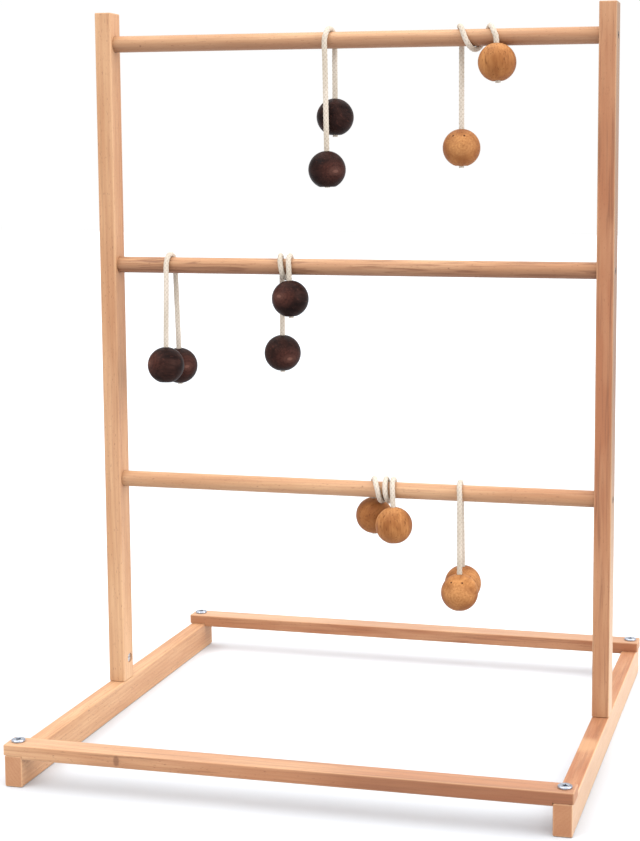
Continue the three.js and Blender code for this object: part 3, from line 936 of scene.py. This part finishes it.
def ball_wood(name, wood, cut, seed, stapled):
    """Turned ball of stained wood, cut = (degrees round, degrees up, pith offset, depth)."""
    tones = BALL_TONES[wood]
    look = Look(name)
    turn, rise, beside, depth = math.radians(cut[0]), math.radians(cut[1]), cut[2], cut[3]
    level = math.cos(rise)
    out = Vector((math.sin(turn) * level, -math.cos(turn) * level, math.sin(rise)))
    swing = out.rotation_difference(Vector((0, 0, 1))).to_euler()
    grain = look.node("Mapping", {"Vector": look.place, "Rotation": swing}).outputs["Vector"]
    offset = (seed * 1.7, seed * 0.9, seed * 2.3)
    rings = growth_rings(look, grain, "z", (beside + 0.0012, -0.0008, 0), *BALL_RINGS)
    cloud = look.noise(grain, BALL_CLOUD_CELLS, 3, offset)
    fibre = look.noise(grain, BALL_FIBRE_CELLS, 3, offset)
    fleck = look.noise(grain, BALL_FLECK_CELLS, 1, offset)

    colour = look.mix(look.fade(cloud, 0.3, 0.72), tones["deep"], tones["pale"])
    colour = look.mix(0.5 * depth, colour, tones["deep"])
    near = look.spot(look.place, out * BALL_RADIUS, BALL_CORE_SIZE)
    colour = look.tint(near, 0.55, tones["core"], colour)
    colour = look.tint(rings, 0.2, tones["deep"], colour)
    colour = look.mix(look.fade(fibre, 0.45, 0.75, 0.0, 0.5), colour, tones["deep"])
    flecked = 0.25 + 0.4 * abs(math.sin(rise))
    colour = look.mix(look.fade(fleck, 0.6, 0.72, 0.0, flecked), colour, tones["fleck"])
    # Painted shade: each ball is darker towards its bottom.
    height = look.node("SeparateXYZ", {0: look.place}).outputs[2]
    below = look.fade(height, -BALL_RADIUS, 0.3 * BALL_RADIUS, 0.5, 0.0)
    colour = look.mix(below, colour, tones["deep"])
    # Dark balls get a painted highlight where their grain's middle meets the surface.
    if wood == "dark":
        colour = with_painted_highlight(look, colour, out * BALL_RADIUS)
    if stapled:
        colour = with_staple_holes(look, colour)

    look.set(Base_Color=colour)
    rough = tones["roughness"]
    look.set(Roughness=look.fade(cloud, 0.3, 0.7, rough - 0.05, rough + 0.1))
    look.set(Specular_IOR_Level=tones["shine"])
    look.bump(look.math("ADD", fibre, look.math("MULTIPLY", rings, 0.8)), 0.3, 0.00015)
    return look.material


def dress_balls(name, bola, seed):
    for k, place in enumerate(("back", "front")):
        ball = f"{name}_ball_{place}"
        stapled = bola.get("stapled") == place
        dress(ball, ball_wood(ball, bola["wood"], bola["grain"][place], seed + k, stapled))


for i, (bola_name, bola_facts) in enumerate(BOLAS.items()):
    dress_balls(bola_name, bola_facts, 3 * i + 1)


# ---- Rope ----
ROPE_CLEAN = srgb(200, 189, 176)
ROPE_SOILED = srgb(184, 173, 158)
ROPE_GAP_SHADE = srgb(134, 118, 100)
ROPE_YARN = srgb(180, 164, 142)
FLUFF_CELLS = 1600
YARN_CELLS = (2600, 2600, 700)
SOIL_CELLS = (60, 60, 25)


def cotton_rope():
    """Off-white cotton, with painted shade in the gaps between the strands."""
    look = Look("cotton_rope")
    height = look.node("Attribute", attribute_name="braid").outputs["Fac"]
    fluff = look.noise(look.place, FLUFF_CELLS, 3)
    yarn = look.noise(look.place, YARN_CELLS, 1)
    soil = look.noise(look.place, SOIL_CELLS, 2)
    colour = look.mix(look.fade(soil, 0.35, 0.7), ROPE_CLEAN, ROPE_SOILED)
    # Painted shade in the gaps between the strands.
    colour = look.mix(look.fade(height, 0.2, 0.8, 0.55, 0.0), colour, ROPE_GAP_SHADE)
    colour = look.mix(look.fade(yarn, 0.5, 0.8, 0.0, 0.35), colour, ROPE_YARN)
    look.set(Base_Color=colour)
    look.set(Roughness=look.fade(fluff, 0.3, 0.7, 0.85, 0.98))
    look.set(Specular_IOR_Level=0.15)
    look.bump(look.math("ADD", fluff, yarn), 0.5, 0.00025)
    return look.material


rope_look = cotton_rope()
for bola_name in BOLAS:
    for part in ("rope", "knot_back", "knot_front"):
        dress(f"{bola_name}_{part}", rope_look)


# ---- Steel ----
PLATING_CELLS = 700
SCRATCH_CELLS = (4200, 900, 900)


def zinc(name, bright, dark, roughness, metallic=1.0):
    """Zinc plated steel with faint scratches and cloudy plating."""
    look = Look(name)
    cloud = look.noise(look.place, PLATING_CELLS, 3)
    scratch = look.noise(look.place, SCRATCH_CELLS, 1)
    colour = look.mix(look.fade(cloud, 0.35, 0.65), bright, dark)
    look.set(Base_Color=colour, Metallic=metallic)
    look.set(Roughness=look.fade(cloud, 0.3, 0.7, roughness, roughness + 0.14))
    look.bump(look.math("ADD", scratch, cloud), 0.15, 0.0001)
    return look.material


plated = zinc("zinc_plated", srgb(192, 198, 208), srgb(142, 150, 166), 0.22)
# Painted shade and dark reflection for the hex recesses' walls and floors.
recess = zinc("zinc_recess", srgb(44, 54, 84), srgb(22, 28, 46), 0.4)
dull = zinc("zinc_dull", srgb(206, 208, 212), srgb(180, 184, 190), 0.45, 0.5)
# Dark zinc for the rung screws paints the shade that their heads sit in.
shaded_screw_zinc = zinc("zinc_dark", srgb(96, 84, 76), srgb(58, 48, 42), 0.5, 0.5)
for base_end, base_side in BASE_ENDS:
    corner = f"corner_bolt_{base_end}_{base_side}"
    dress(corner, plated)
    pieces[corner].data.materials.append(recess)
    dress(f"threaded_insert_{base_end}_{base_side}", plated)
for side in ("left", "right"):
    dress(f"post_bolt_{side}", plated)
    dress(f"barrel_nut_{side}", dull)
    for rung_name in RUNG_HEIGHTS:
        # The rung screws are darkened as painted shade.
        dress(f"rung_screw_{rung_name}_{side}", shaded_screw_zinc)


# ---- Floor and light ----
FLOOR_SIZE = 14
FLOOR_GAP = 0.0004
FLOOR_COLOUR = srgb(199, 202, 206)
FLOOR_MOTTLE = srgb(195, 198, 202)
# Painted light that lightens the rear cross bar's shadow.
FLOOR_PAINTED_LIGHT = srgb(213, 216, 220)
FLOOR_CELLS = 2
PAINTED_LIGHT_PLACE = (0, 0.27, 0)
PAINTED_LIGHT_SIZE = (0.9, 0.45, 1)
WORLD_STRENGTH = 1.01

# Each sun's direction, spread in degrees and strength.
SUNS = {
    "overhead": ((0.05, 0.05, -1), 100, 3.1),
    "key": ((0.45, 0.55, -0.7), 24, 0.55),
    "right": ((-1, 0.1, -0.3), 50, 2.1),
}


def make_floor():
    """Wide pale floor with a very faint mottle, and painted light under the rear cross bar that
    lightens the shadow there.
    """
    bm = bmesh.new()
    bmesh.ops.create_grid(bm, x_segments=8, y_segments=8, size=FLOOR_SIZE)
    floor = new_piece("floor", bm)
    floor.location.z = -FLOOR_GAP
    look = Look("floor")
    mottle = look.noise(look.place, FLOOR_CELLS, 2)
    colour = look.mix(look.fade(mottle, 0.3, 0.7), FLOOR_COLOUR, FLOOR_MOTTLE)
    # Painted light lightening the rear cross bar's shadow.
    lit_patch = look.spot(look.place, PAINTED_LIGHT_PLACE, PAINTED_LIGHT_SIZE)
    colour = look.mix(lit_patch, colour, FLOOR_PAINTED_LIGHT)
    look.set(Base_Color=colour, Roughness=0.9, Specular_IOR_Level=0.0)
    floor.data.materials.append(look.material)


def make_sun(name, towards, spread, strength):
    """Soft light from one side of the sky, spread over an angle in degrees."""
    data = bpy.data.lights.new(name, "SUN")
    data.angle = math.radians(spread)
    data.energy = strength
    light = bpy.data.objects.new(name, data)
    light.rotation_euler = Vector(towards).to_track_quat("-Z", "Y").to_euler()
    bpy.context.collection.objects.link(light)


def make_world():
    world = bpy.data.worlds.new("white_room")
    world.use_nodes = True
    background = world.node_tree.nodes["Background"]
    background.inputs["Color"].default_value = (1, 1, 1, 1)
    background.inputs["Strength"].default_value = WORLD_STRENGTH
    bpy.context.scene.world = world


make_floor()
make_world()
for sun_name, sun_facts in SUNS.items():
    make_sun(sun_name, *sun_facts)
bpy.context.scene.view_settings.view_transform = "Standard"
